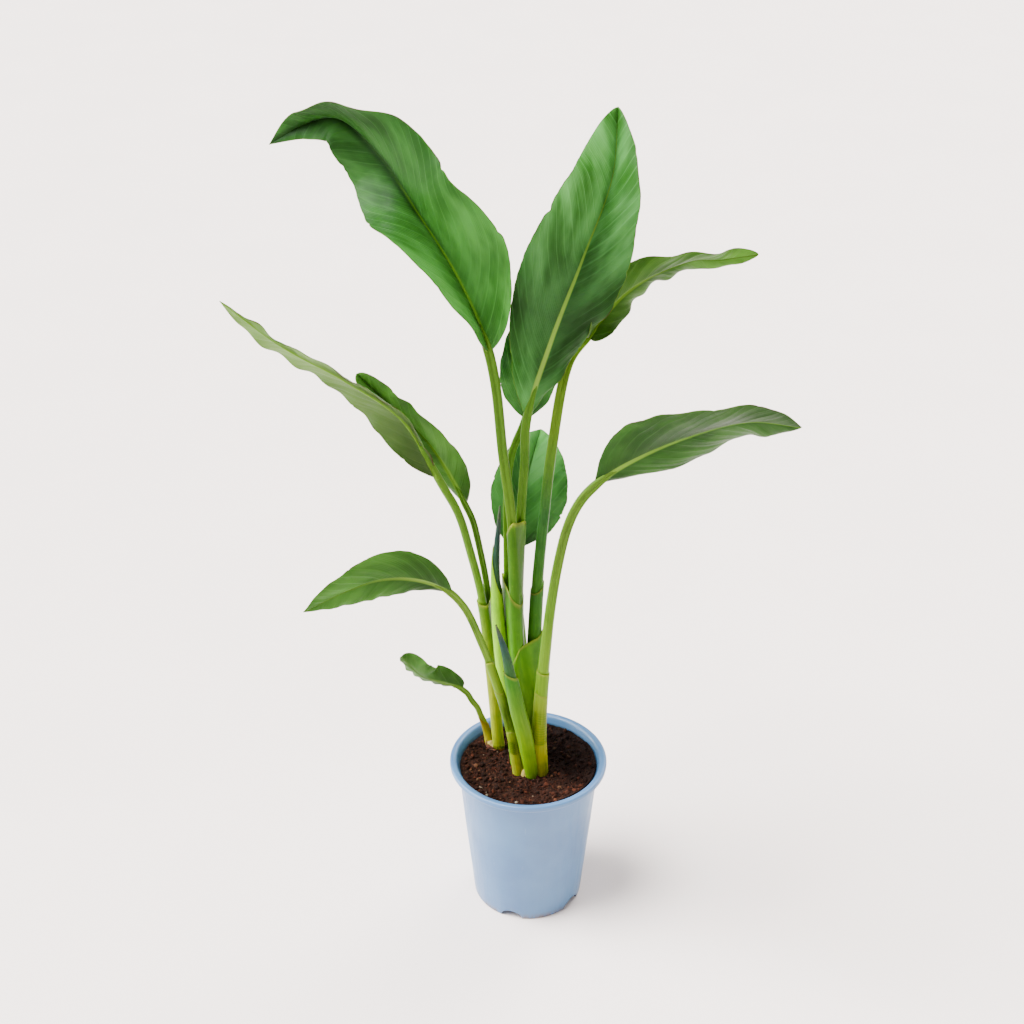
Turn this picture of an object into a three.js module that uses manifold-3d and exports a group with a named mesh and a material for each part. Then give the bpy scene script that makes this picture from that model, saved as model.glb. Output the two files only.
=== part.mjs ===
// Potted bird of paradise: a young plant of ten leaves in a thin plastic nursery pot.
// Millimetres, +Z up, -Y is the front. The origin is the middle of the pot's floor, on the surface
// that the pot stands on. The plant is described from the surface of its soil upwards.
import * as THREE from 'three';
import { mergeVertices } from 'three/addons/utils/BufferGeometryUtils.js';
import Module from 'manifold-3d';

const wasm = await Module();
wasm.setup();

// ---------- Driving dimensions ----------

const GAP = 0.3; // clearance between pieces that touch

// Pot
const POT_HEIGHT = 126;
const RIM_RADIUS = 60;
const BASE_RADIUS = 42;
const WALL = 1.6;
const LIP_REACH = 6.5; // how far the rolled rim stands out from the wall
const LIP_DEPTH = 5;
const FLOOR = 1.8;
const PAD_RADIUS = 28; // flat middle of the floor, which rests on the table
const DRAIN_LIFT = 4; // the floor around the pad is raised by this
const FOOT_WIDTH = 3;
const NOTCHES = 5;
const NOTCH_WIDTH = 17;
const NOTCH_HEIGHT = 7;
const FIRST_NOTCH = 252; // degrees about +Z from +X

// Soil
const SOIL_BELOW_RIM = 9;
const SOIL_CROWN = 1.6; // the soil is this much higher in the middle than at the wall

// Crowns, where the stalks come out of the soil
const OFFSET_FROM_WALL = 14.7; // from the pot's inner wall to the middle of the offset crown
const OFFSET_BEARING = 133; // degrees about +Z from +X
const CROWNS = {
  crown_main: { middle: [4, 1], radii: [16, 14], top: 6, depth: 24, colour: 0xd9d98a },
  crown_offset: { middle: [0, 0], radii: [9.5, 8], top: 5, depth: 18, colour: 0xd8c79a },
};

// Leaves. Points are [right, back, up] from the soil surface over the origin, or over the middle of
// the offset crown for a leaf that grows on it. A stalk's first point is its foot inside the crown;
// the midrib goes on from the stalk's last point to the tip. left and
// right are the widest half widths, widest is where along the blade they come, and fullness sets
// how square the outline is. leftLift and rightLift are the angles in degrees, spread evenly from
// the base to the tip, by which each half rises towards the front from the plane across the midrib.
const LEAVES = {
  tall_left: {
    stalk: [[-1, 0, -9], [-6, 1, 60], [-11, 1, 114], [-15, 4, 206], [-21, 7, 262], [-28, 10, 343]],
    midrib: [[-48, 18, 392], [-73, 32, 431], [-99, 52, 464], [-127, 70, 484], [-150, 76, 478], [-175, 77, 464]],
    foot: 4.8, top: 3.2, left: 33, right: 44, widest: 0.41, fullness: 1.8,
    leftLift: [86, 82, 62, -5, 40, 45], rightLift: [20, 0, 40, 38, 62, -10],
  },
  tall_centre: {
    stalk: [[4, 10, -9], [-3, 9, 58], [-8, 10, 111], [-7, 12, 190], [-4, 13, 252], [-2, 14, 292]],
    midrib: [[14, 20, 347], [35, 34, 401], [54, 52, 451], [57, 66, 493]],
    foot: 4.6, top: 3, left: 41, right: 32, widest: 0.56, fullness: 1.6,
    leftLift: [22, 12, 34, 40], rightLift: [-12, -8, 50, 65],
  },
  upper_right: {
    stalk: [[9, 2, -9], [3, 4, 58], [4, 10, 109], [8, 19, 184], [16, 30, 260], [27, 37, 324], [39, 40, 341]],
    midrib: [[68, 48, 372], [109, 60, 388], [131, 66, 387], [157, 70, 389]],
    foot: 5, top: 3, left: 20, right: 14, widest: 0.3, fullness: 0.9,
    leftLift: [85, 25, 60, 10], rightLift: [45, -32, -28, 5],
  },
  mid_right: {
    stalk: [[14, -6, -9], [9, -8, 52], [12, -12, 117], [19, -16, 187], [30, -19, 236], [43, -21, 257]],
    midrib: [[73, -27, 283], [111, -35, 305], [143, -40, 316], [176, -44, 314]],
    foot: 6, top: 3, left: 40, right: 30, widest: 0.55, fullness: 2,
    leftLift: [-15, 27, 50, 45], rightLift: [-20, -14, -34, -20],
  },
  mid_left: {
    crown: 'crown_offset',
    stalk: [[3, -4, -7], [-3, -6, 74], [-9, -9, 139], [-24, -14, 211], [-39, -17, 247]],
    midrib: [[-61, -22, 295], [-99, -26, 327], [-140, -28, 353], [-178, -27, 384]],
    foot: 3.6, top: 2.8, left: 29, right: 9, widest: 0.46, fullness: 1.8,
    leftLift: [40, -38, -56, -36], rightLift: [45, 52, 42, 25],
  },
  mid_left_back: {
    crown: 'crown_offset',
    stalk: [[2, 4, -7], [-1, 6, 87], [-7, 7, 150], [-15, 7, 196], [-21, 7, 212]],
    midrib: [[-44, 12, 256], [-70, 16, 284], [-96, 19, 310]],
    foot: 3, top: 2.3, left: 15, right: 19, widest: 0.58, fullness: 0.9,
    leftLift: [-50, 10, 55, 80], rightLift: [-36, 30, 45, 42],
  },
  low_left: {
    stalk: [[-6, -6, -8], [-13, -8, 40], [-25, -10, 90], [-40, -14, 140], [-55, -18, 169]],
    midrib: [[-80, -25, 185], [-105, -32, 189], [-130, -39, 183], [-157, -45, 171]],
    foot: 4.4, top: 2.4, left: 17, right: 25, widest: 0.48, fullness: 2,
    leftLift: [-25, -5, -6, -2], rightLift: [26, 10, 34, 36],
  },
  small_left: {
    crown: 'crown_offset',
    stalk: [[-4, 0, -6], [-7, 3, 12], [-14, 2, 34], [-26, 0, 54]],
    midrib: [[-38, -2, 60], [-54, -6, 69], [-70, -12, 92]],
    foot: 3, top: 2, left: 9, right: 14, widest: 0.45, fullness: 0.9,
    leftLift: [-36, -38, -32, -22], rightLift: [4, -6, 16, -40],
  },
  back: {
    stalk: [[12, 9, -9], [0, 18, 56], [-6, 27, 103], [-11, 36, 174]],
    midrib: [[-5, 50, 206], [0, 64, 224], [9, 98, 240]],
    foot: 4.2, top: 2.6, left: 26, right: 32, widest: 0.42, fullness: 1.5,
    leftLift: [65, 26, 24, 0], rightLift: [5, 8, 36, 75],
  },
  centre_back: {
    stalk: [[-4, 10, -9], [-9, 16, 54], [-14, 20, 106], [-16, 24, 190], [-13, 27, 255], [-3, 31, 283]],
    midrib: [[4, 38, 321], [12, 46, 352], [17, 55, 388]],
    foot: 4, top: 2.6, left: 28, right: 19, widest: 0.44, fullness: 1.5,
    leftLift: [5, 30, 25, 0], rightLift: [-8, 38, 36, 38],
  },
};
const BLADE_THICKNESS = 1.2;
const RIB_THICKNESS = 3; // at the midrib, near the stalk
const FOOT_FLARE = 0.4; // share of a stalk over which its foot narrows

// Rolled young leaves that are still closed
const SPEARS = {
  spear_front: {
    path: [[5, -10, -8], [-3, -12, 40], [-9, -13, 70], [-18, -14, 115], [-24, -15, 141]],
    foot: 5, waist: 5.4, tip: 1,
  },
  spear_back: {
    path: [[-9, 4, -8], [-12, 6, 50], [-18, 10, 95], [-22, 13, 170], [-20, 14, 222]],
    foot: 3.4, waist: 4, tip: 1,
  },
};

// Facets
const AROUND_POT = 48;
const AROUND_STALK = 8;
const ALONG_STALK = 14;
const ALONG_BLADE = 16;
const ACROSS_BLADE = 6;

const COLOURS = { pot: 0xa9c3dc, soil: 0x2b1a14, stalk: 0x7fa83c, blade: 0x3f7a35, spear: 0x86b42e };

// ---------- Solids ----------

// A closed three.js geometry as a solid that can be joined and cut.
function toSolid(geometry) {
  const plain = geometry.clone();
  plain.deleteAttribute('normal');
  plain.deleteAttribute('uv');
  const merged = mergeVertices(plain, 1e-3);
  const { array } = merged.index;
  const triVerts = [];
  for (let i = 0; i < array.length; i += 3) {
    const [a, b, c] = array.slice(i, i + 3);
    if (a !== b && b !== c && c !== a) triVerts.push(a, b, c);
  }
  return new wasm.Manifold(new wasm.Mesh({
    numProp: 3,
    vertProperties: merged.attributes.position.array,
    triVerts: Uint32Array.from(triVerts),
  }));
}

// The largest of the bodies that a cut leaves.
function largestBody(solid) {
  const bodies = solid.decompose();
  return bodies.reduce((best, body) => (body.volume() > best.volume() ? body : best));
}

function toMesh(name, solid, colour, roughness) {
  const { numProp, vertProperties, triVerts } = largestBody(solid).getMesh();
  const geometry = new THREE.BufferGeometry();
  const corners = [];
  for (let i = 0; i < vertProperties.length; i += numProp) {
    corners.push(...vertProperties.slice(i, i + 3));
  }
  geometry.setAttribute('position', new THREE.Float32BufferAttribute(corners, 3));
  geometry.setIndex([...triVerts]);
  geometry.computeVertexNormals();
  const material = new THREE.MeshStandardMaterial({ color: colour, roughness, metalness: 0 });
  const mesh = new THREE.Mesh(geometry, material);
  mesh.name = name;
  return mesh;
}

// Turns a lathe geometry, which three.js makes about Y, to stand on Z.
function standUp(geometry) {
  return geometry.rotateX(Math.PI / 2);
}

// ---------- Pot and soil ----------

const neckRadius = RIM_RADIUS - LIP_REACH;
const soilLevel = POT_HEIGHT - SOIL_BELOW_RIM;

// Outer radius of the straight wall at a height.
function wallRadius(height) {
  return THREE.MathUtils.lerp(BASE_RADIUS, neckRadius, height / (POT_HEIGHT - LIP_DEPTH));
}

function makePot() {
  const lipUnder = POT_HEIGHT - LIP_DEPTH;
  const cornerHeight = DRAIN_LIFT + FLOOR + 4;
  const profile = [
    [0, 0],
    [PAD_RADIUS, 0],
    [PAD_RADIUS + 2, DRAIN_LIFT],
    [BASE_RADIUS - FOOT_WIDTH - 0.5, DRAIN_LIFT],
    [BASE_RADIUS - FOOT_WIDTH, 0],
    [BASE_RADIUS - 1.2, 0],
    [wallRadius(1.2), 1.2],
    [neckRadius, lipUnder],
    [RIM_RADIUS - 0.8, lipUnder + 0.4],
    [RIM_RADIUS, lipUnder + 1.4],
    [RIM_RADIUS, POT_HEIGHT - 1.6],
    [RIM_RADIUS - 0.7, POT_HEIGHT - 0.5],
    [RIM_RADIUS - 2.2, POT_HEIGHT],
    [RIM_RADIUS - 4, POT_HEIGHT - 0.5],
    [neckRadius + 0.6 - WALL / 2, POT_HEIGHT - 2.2],
    [wallRadius(lipUnder - 3) - WALL, lipUnder - 3],
    [wallRadius(cornerHeight) - WALL, cornerHeight],
    [BASE_RADIUS - WALL - 3.4, DRAIN_LIFT + FLOOR],
    [PAD_RADIUS + 1.2, DRAIN_LIFT + FLOOR],
    [PAD_RADIUS - 0.8, FLOOR],
    [0, FLOOR],
  ].map(([radius, height]) => new THREE.Vector2(radius, height));
  let pot = toSolid(standUp(new THREE.LatheGeometry(profile, AROUND_POT)));
  const notchLength = 2 * FOOT_WIDTH + 3;
  for (let i = 0; i < NOTCHES; i += 1) {
    const arch = new THREE.CylinderGeometry(NOTCH_WIDTH / 2, NOTCH_WIDTH / 2, notchLength, 20);
    arch.scale(1, 1, NOTCH_HEIGHT / (NOTCH_WIDTH / 2));
    arch.translate(0, BASE_RADIUS + 0.5, 0);
    arch.rotateZ(THREE.MathUtils.degToRad(FIRST_NOTCH + (360 / NOTCHES) * i - 90));
    pot = pot.subtract(toSolid(arch));
  }
  return pot;
}

function makeSoil() {
  const clear = WALL + GAP;
  const bottom = DRAIN_LIFT + FLOOR + 4;
  const profile = [
    [0, FLOOR + GAP],
    [PAD_RADIUS - 1.4, FLOOR + GAP],
    [PAD_RADIUS + 0.8, DRAIN_LIFT + FLOOR + GAP],
    [BASE_RADIUS - WALL - 4, DRAIN_LIFT + FLOOR + GAP],
    [wallRadius(bottom) - clear, bottom + GAP],
    [wallRadius(soilLevel - 5) - clear, soilLevel - 5],
    [wallRadius(soilLevel - SOIL_CROWN) - clear, soilLevel - SOIL_CROWN],
    [RIM_RADIUS * 0.55, soilLevel - SOIL_CROWN / 3],
    [0, soilLevel],
  ].map(([radius, height]) => new THREE.Vector2(radius, height));
  return toSolid(standUp(new THREE.LatheGeometry(profile, AROUND_POT)));
}

// ---------- Plant ----------

const FRONT = new THREE.Vector3(0, -1, 0);

function curveThrough(points) {
  return new THREE.CatmullRomCurve3(points.map((p) => new THREE.Vector3(...p)), false, 'centripetal');
}

// The directions along a curve, to its right and out of its front, at a share of its length.
function frameAt(curve, share) {
  const along = curve.getTangentAt(share);
  const front = FRONT.clone().addScaledVector(along, -along.dot(FRONT)).normalize();
  return { along, front, right: along.clone().cross(front) };
}

// A round tapering tube: a cylinder bent along a stretch of a curve.
function bentTube(curve, from, to, radiusAt) {
  const tube = new THREE.CylinderGeometry(1, 1, 1, AROUND_STALK, ALONG_STALK);
  const { position } = tube.attributes;
  for (let i = 0; i < position.count; i += 1) {
    const share = position.getY(i) + 0.5;
    const radius = radiusAt(share);
    const place = THREE.MathUtils.lerp(from, to, share);
    const { right, front } = frameAt(curve, place);
    const point = curve.getPointAt(place);
    point.addScaledVector(right, position.getX(i) * radius);
    point.addScaledVector(front, position.getZ(i) * radius);
    position.setXYZ(i, ...point);
  }
  return tube;
}

function stalkRadius(leaf, share) {
  const flare = Math.exp(-share / FOOT_FLARE);
  return leaf.top + (leaf.foot - leaf.top) * flare;
}

// A value from a list that is spread evenly over a blade's length.
function spread(list, share) {
  const place = share * (list.length - 1);
  const index = Math.min(Math.floor(place), list.length - 2);
  return THREE.MathUtils.lerp(list[index], list[index + 1], place - index);
}

// A leaf's outline, 1 at its widest.
function outline(leaf, share) {
  const rise = (share / leaf.widest) ** (leaf.fullness * leaf.widest);
  const fall = ((1 - share) / (1 - leaf.widest)) ** (leaf.fullness * (1 - leaf.widest));
  return rise * fall;
}

// A point of the blade's middle surface. across runs from -1 at the left margin to 1 at the right.
function bladePoint(leaf, curve, joint, share, across) {
  const place = THREE.MathUtils.lerp(joint, 1, share);
  const { right, front } = frameAt(curve, place);
  const onLeft = across < 0;
  const width = Math.max((onLeft ? leaf.left : leaf.right) * outline(leaf, share), leaf.top * 0.6);
  const lift = THREE.MathUtils.degToRad(spread(onLeft ? leaf.leftLift : leaf.rightLift, share));
  const point = curve.getPointAt(place);
  point.addScaledVector(right, across * width * Math.cos(lift));
  point.addScaledVector(front, Math.abs(across) * width * Math.sin(lift));
  return point;
}

// The blade: a flat box whose corners are moved onto both faces of the folded, bent surface.
function bentBlade(leaf, curve, joint) {
  const slab = new THREE.BoxGeometry(2, 1, 1, ACROSS_BLADE, 1, ALONG_BLADE);
  const { position } = slab.attributes;
  const step = 0.01;
  for (let i = 0; i < position.count; i += 1) {
    const across = position.getX(i);
    const share = 0.5 - position.getZ(i);
    const point = bladePoint(leaf, curve, joint, share, across);
    const early = Math.max(share - step, 0);
    const late = Math.min(share + step, 1);
    const outer = Math.min(across + 0.2, 1);
    const inner = Math.max(across - 0.2, -1);
    const alongBlade = bladePoint(leaf, curve, joint, late, across)
      .sub(bladePoint(leaf, curve, joint, early, across));
    const acrossBlade = bladePoint(leaf, curve, joint, share, outer)
      .sub(bladePoint(leaf, curve, joint, share, inner));
    const face = alongBlade.cross(acrossBlade).normalize();
    const rib = (RIB_THICKNESS - BLADE_THICKNESS) * (1 - share) * (1 - Math.abs(across)) ** 3;
    point.addScaledVector(face, -position.getY(i) * (BLADE_THICKNESS + rib));
    position.setXYZ(i, ...point);
  }
  return slab;
}

// Everything about a leaf that its pieces and the cuts around them share.
function layOut(leaf) {
  const curve = curveThrough([...leaf.stalk, ...leaf.midrib]);
  curve.arcLengthDivisions = 600;
  const lengths = curve.getLengths();
  const spans = leaf.stalk.length + leaf.midrib.length - 1;
  const jointLength = lengths[Math.round(((leaf.stalk.length - 1) / spans) * 600)];
  const length = lengths[600];
  return { curve, joint: jointLength / length, stalkEnd: (jointLength - GAP) / length };
}

function makeStalk(leaf, extra = 0) {
  const { curve, stalkEnd } = layOut(leaf);
  return toSolid(bentTube(curve, 0, stalkEnd, (share) => stalkRadius(leaf, share) + extra));
}

function makeSpear(spear, extra = 0) {
  const curve = curveThrough(spear.path);
  const radiusAt = (share) => {
    const swell = Math.sin(Math.PI * Math.min(share / 0.9, 1)) * (spear.waist - spear.foot);
    const point = Math.sqrt(Math.max(1 - share ** 3, 0));
    return Math.max((spear.foot + swell) * point, spear.tip) + extra;
  };
  return toSolid(bentTube(curve, 0, 1, radiusAt));
}

function makeCrown(crown) {
  const [across, deep] = crown.radii;
  const profile = [
    [0, -crown.depth],
    [0.55, -crown.depth * 0.94],
    [0.9, -crown.depth * 0.7],
    [1, -crown.depth * 0.3],
    [0.96, 0],
    [0.84, crown.top * 0.6],
    [0.6, crown.top],
    [0, crown.top],
  ].map(([radius, height]) => new THREE.Vector2(radius, height));
  const shape = standUp(new THREE.LatheGeometry(profile, 20));
  shape.scale(across, deep, 1);
  shape.translate(...crown.middle, 0);
  return toSolid(shape);
}

// A crown grown by the clearance, to cut its hollow in the soil.
function makeCrownHollow(crown) {
  const [across, deep] = crown.radii;
  return makeCrown({
    ...crown,
    radii: [across + GAP, deep + GAP],
    top: crown.top + GAP,
    depth: crown.depth + GAP,
  });
}

// ---------- Assembly ----------

const offsetRadius = wallRadius(soilLevel) - WALL - OFFSET_FROM_WALL;
const offsetBearing = THREE.MathUtils.degToRad(OFFSET_BEARING);
const crownPlaces = {
  crown_main: [0, 0, 0],
  crown_offset: [offsetRadius * Math.cos(offsetBearing), offsetRadius * Math.sin(offsetBearing), 0],
};

// Where a leaf is measured from.
function placeOf(leaf) {
  return crownPlaces[leaf.crown ?? 'crown_main'];
}

const plant = new THREE.Group();
const plantGroup = new THREE.Group();
plantGroup.position.z = soilLevel;

// Stalks and spears press together where they rise, so each is trimmed by the ones before it.
const stems = [
  ...Object.entries(SPEARS).map(([name, spear]) => ({
    name,
    colour: COLOURS.spear,
    make: (extra) => makeSpear(spear, extra),
  })),
  ...Object.entries(LEAVES).map(([name, leaf]) => ({
    name: `${name}_stalk`,
    colour: COLOURS.stalk,
    make: (extra) => makeStalk(leaf, extra).translate(placeOf(leaf)),
  })),
];
const hollows = [];
for (const { name, colour, make } of stems) {
  let stem = make(0);
  for (const hollow of hollows) stem = stem.subtract(hollow);
  hollows.push(make(GAP));
  plantGroup.add(toMesh(name, stem, colour, 0.5));
}

for (const [name, leaf] of Object.entries(LEAVES)) {
  const { curve, joint } = layOut(leaf);
  const blade = toSolid(bentBlade(leaf, curve, joint)).translate(placeOf(leaf));
  plantGroup.add(toMesh(`${name}_blade`, blade, COLOURS.blade, 0.45));
}

let soil = makeSoil();
for (const [name, crown] of Object.entries(CROWNS)) {
  const place = crownPlaces[name];
  let solid = makeCrown(crown).translate(place);
  for (const hollow of hollows) solid = solid.subtract(hollow);
  plantGroup.add(toMesh(name, solid, crown.colour, 0.6));
  soil = soil.subtract(makeCrownHollow(crown).translate(place).translate([0, 0, soilLevel]));
}
for (const hollow of hollows) soil = soil.subtract(hollow.translate([0, 0, soilLevel]));

plant.add(toMesh('pot', makePot(), COLOURS.pot, 0.35));
plant.add(toMesh('soil', soil, COLOURS.soil, 0.95));
plant.add(plantGroup);

export default plant;
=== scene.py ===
import math

import bmesh
import bpy
import numpy as np
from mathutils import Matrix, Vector, noise


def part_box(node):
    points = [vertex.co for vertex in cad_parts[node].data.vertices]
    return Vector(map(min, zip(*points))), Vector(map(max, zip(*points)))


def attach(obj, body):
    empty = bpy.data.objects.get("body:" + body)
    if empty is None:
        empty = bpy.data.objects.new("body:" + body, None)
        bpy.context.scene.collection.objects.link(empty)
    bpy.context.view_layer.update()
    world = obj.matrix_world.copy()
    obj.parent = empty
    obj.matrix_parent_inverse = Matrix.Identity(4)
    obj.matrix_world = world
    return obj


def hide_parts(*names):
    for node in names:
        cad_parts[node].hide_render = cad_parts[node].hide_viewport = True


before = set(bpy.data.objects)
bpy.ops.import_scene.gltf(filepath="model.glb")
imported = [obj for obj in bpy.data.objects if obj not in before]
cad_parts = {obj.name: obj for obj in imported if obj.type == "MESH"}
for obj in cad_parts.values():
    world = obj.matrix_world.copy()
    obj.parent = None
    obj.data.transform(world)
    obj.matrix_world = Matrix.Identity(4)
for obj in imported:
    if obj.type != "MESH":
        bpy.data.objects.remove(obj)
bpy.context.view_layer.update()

MM = 0.001
TURN = 2 * math.pi
FRONT = np.array([0.0, -1.0, 0.0])
UP = np.array([0.0, 0.0, 1.0])


# ---------- Where things are, from the frame ----------

def centre_of(node):
    low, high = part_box(node)
    return (np.array(low) + np.array(high)) / 2


POT_LOW, POT_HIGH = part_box("pot")
RIM_RADIUS = (POT_HIGH[0] - POT_LOW[0]) / 2
POT_HEIGHT = POT_HIGH[2]
SOIL_LEVEL = POT_HEIGHT - 9 * MM
WALL = 1.6 * MM
LIP_REACH = 6.5 * MM
LIP_DEPTH = 5 * MM
BASE_RADIUS = 42 * MM
NOTCH_BEARINGS = (252, 324, 36, 108, 180)
NOTCH_HALF_WIDTH, NOTCH_HEIGHT = 8.5 * MM, 7 * MM
NECK_RADIUS = RIM_RADIUS - LIP_REACH
CROWN_PLACES = {
    "crown_main": np.array([0, 0, SOIL_LEVEL]),
    "crown_offset": np.array([*centre_of("crown_offset")[:2], SOIL_LEVEL]),
}


# ---------- The leaves ----------

# The routes and sizes of the CAD leaves, in millimetres from the soil at the leaf's crown.
# face is 1 where the upper side faces the front and -1 where the underside does. wave is how far
# the margins ripple and nicks how many small tears they have.
LEAVES = {
    "tall_left": dict(
        stalk=[(-1, 0, -9), (-5, 1, 60), (-9, 1, 114), (-12, 4, 206), (-18, 7, 262), (-28, 10, 343)],
        midrib=[(-48, 18, 392), (-73, 32, 431), (-99, 52, 464), (-127, 70, 484), (-150, 76, 478),
                (-175, 77, 464)],
        foot=4.8, top=3.2, left=33, right=44, widest=0.41, fullness=1.8,
        left_lift=(86, 82, 62, -5, 40, 45), right_lift=(20, 0, 40, 38, 62, -10),
        face=1, wave=1.6, nicks=9),
    "tall_centre": dict(
        stalk=[(4, 10, -9), (-3, 9, 58), (-8, 10, 111), (-7, 12, 190), (-4, 13, 252), (-2, 14, 292)],
        midrib=[(14, 20, 347), (35, 34, 401), (54, 52, 451), (57, 66, 493)],
        foot=4.6, top=3, left=41, right=32, widest=0.56, fullness=1.6,
        left_lift=(22, 12, 34, 40), right_lift=(-12, -8, 50, 65),
        face=1, wave=1.5, nicks=8),
    "upper_right": dict(
        stalk=[(9, 2, -9), (3, 4, 58), (4, 10, 109), (8, 19, 184), (16, 30, 260), (27, 37, 324),
               (39, 40, 341)],
        midrib=[(68, 48, 372), (109, 60, 388), (131, 66, 387), (157, 70, 389)],
        foot=6.2, top=3.2, left=20, right=14, widest=0.3, fullness=0.9,
        left_lift=(85, 25, 60, 10), right_lift=(45, -32, -28, 5),
        face=1, wave=1.2, nicks=3),
    "mid_right": dict(
        stalk=[(9, -7, -9), (8, -8, 45), (12, -12, 117), (19, -16, 187), (30, -19, 236),
               (43, -21, 257)],
        midrib=[(73, -27, 283), (111, -35, 305), (143, -40, 316), (176, -44, 314)],
        foot=6, top=3, left=40, right=30, widest=0.55, fullness=2,
        left_lift=(-15, 27, 50, 45), right_lift=(-20, -14, -34, -20),
        face=1, wave=0.8, nicks=3),
    "mid_left": dict(
        crown="crown_offset",
        stalk=[(3, -4, -7), (-3, -6, 74), (-9, -9, 139), (-24, -14, 211), (-39, -17, 247)],
        midrib=[(-61, -22, 295), (-99, -26, 327), (-140, -28, 353), (-178, -27, 384)],
        foot=3.6, top=2.8, left=29, right=9, widest=0.46, fullness=1.8,
        left_lift=(40, -38, -56, -36), right_lift=(45, 52, 42, 25),
        face=-1, wave=1.4, nicks=4),
    "mid_left_back": dict(
        crown="crown_offset",
        stalk=[(2, 4, -7), (-1, 6, 87), (-7, 7, 150), (-15, 7, 196), (-21, 7, 212)],
        midrib=[(-44, 12, 256), (-70, 16, 284), (-96, 19, 310)],
        foot=3, top=2.3, left=15, right=19, widest=0.58, fullness=0.9,
        left_lift=(-50, 10, 55, 80), right_lift=(-36, 30, 45, 42),
        face=1, wave=1, nicks=2),
    "low_left": dict(
        stalk=[(-6, -6, -8), (-13, -8, 40), (-25, -10, 90), (-40, -14, 140), (-55, -18, 169)],
        midrib=[(-80, -25, 185), (-105, -32, 189), (-130, -39, 183), (-157, -45, 171)],
        foot=4.4, top=2.4, left=17, right=25, widest=0.48, fullness=2,
        left_lift=(-25, -5, -6, -2), right_lift=(26, 10, 34, 36),
        face=1, wave=0.5, nicks=2),
    "small_left": dict(
        crown="crown_offset",
        stalk=[(-4, 0, -6), (-7, 3, 12), (-14, 2, 34), (-26, 0, 54)],
        midrib=[(-38, -2, 60), (-54, -6, 69), (-70, -12, 92)],
        foot=3, top=2, left=9, right=14, widest=0.45, fullness=0.9,
        left_lift=(-36, -38, -32, -22), right_lift=(4, -6, 16, -40),
        face=1, wave=1.2, nicks=1),
    "back": dict(
        stalk=[(12, 9, -9), (0, 18, 56), (-6, 27, 103), (-11, 36, 174)],
        midrib=[(-5, 50, 206), (0, 64, 224), (9, 98, 240)],
        foot=4.2, top=2.6, left=26, right=32, widest=0.42, fullness=1.5,
        left_lift=(65, 26, 24, 0), right_lift=(5, 8, 36, 75),
        face=1, wave=0.9, nicks=2),
    "centre_back": dict(
        stalk=[(-4, 10, -9), (-9, 16, 54), (-14, 20, 106), (-16, 24, 190), (-13, 27, 255),
               (-3, 31, 283)],
        midrib=[(4, 38, 321), (12, 46, 352), (17, 55, 388)],
        foot=4, top=2.6, left=28, right=19, widest=0.44, fullness=1.5,
        left_lift=(5, 30, 25, 0), right_lift=(-8, 38, 36, 38),
        face=1, wave=1.2, nicks=2),
}
# The bases of leaves clasp the stalks inside them. Each sheath: the stalks it wraps, its bottom
# and its mouth in millimetres above the soil, how far the mouth slants, the bearing of its high
# side in turns from the right, and the shades of its foot and its mouth.
SHEATHS = {
    "tall_left": [
        (("tall_left", "tall_centre"), 90, 216, 17, 0.8, (41, 82, 1), (43, 78, 2)),
        (("tall_left", "tall_centre", "centre_back"), 4, 160, 12, 0.45, (72, 130, 1), (37, 78, 2)),
    ],
    "upper_right": [
        (("upper_right",), 90, 158, 8, 0.1, (41, 89, 0), (34, 76, 22)),
        (("upper_right", "tall_centre", "tall_left"), 2, 120, 26, 0.97, (83, 122, 1), (46, 100, 0)),
    ],
    "mid_right": [
        (("mid_right",), 30, 98, 3, 0.55, (83, 115, 2), (77, 114, 5)),
        (("mid_right",), -2, 78, 4, 0.6, (114, 119, 11), (94, 127, 11)),
    ],
    "low_left": [
        (("low_left",), 44, 107, 5, 0.8, (73, 102, 5), (83, 114, 11)),
        (("low_left",), 20, 83, 5, 0.3, (68, 95, 5), (77, 107, 11)),
        (("low_left",), -2, 42, 6, 0.75, (121, 127, 19), (77, 104, 6)),
    ],
    "mid_left": [
        (("mid_left", "mid_left_back"), 2, 140, 3, 0.5, (120, 134, 12), (58, 100, 4)),
        (("mid_left",), -1, 50, 14, 0.6, (158, 104, 52), (122, 124, 26)),
    ],
    "small_left": [(("small_left",), -2, 26, 8, 0.6, (134, 130, 16), (90, 67, 8))],
    "back": [(("back", "centre_back"), 2, 128, 12, 0.2, (74, 122, 1), (52, 91, 2))],
    "spear_front": [(("spear_front",), -1, 101, 6, 0.55, (82, 114, 0), (28, 82, 10))],
    "spear_back": [(("spear_back",), 60, 190, 40, 0.45, (114, 168, 0), (90, 144, 1))],
}
SPEARS = {
    "spear_front": dict(
        path=[(4, -11, -8), (-3, -14, 40), (-9, -16, 70), (-17, -16, 115), (-24, -16, 141)],
        foot=3.9, waist=5.7, tip=0.7),
    "spear_back": dict(
        path=[(-9, 4, -8), (-14, 6, 50), (-20, 10, 95), (-24, 13, 170), (-21, 14, 222)],
        foot=3.4, waist=4.8, tip=0.6),
}


# ---------- Curves ----------

def unit(vectors):
    return vectors / np.maximum(np.linalg.norm(vectors, axis=-1, keepdims=True), 1e-12)


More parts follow.
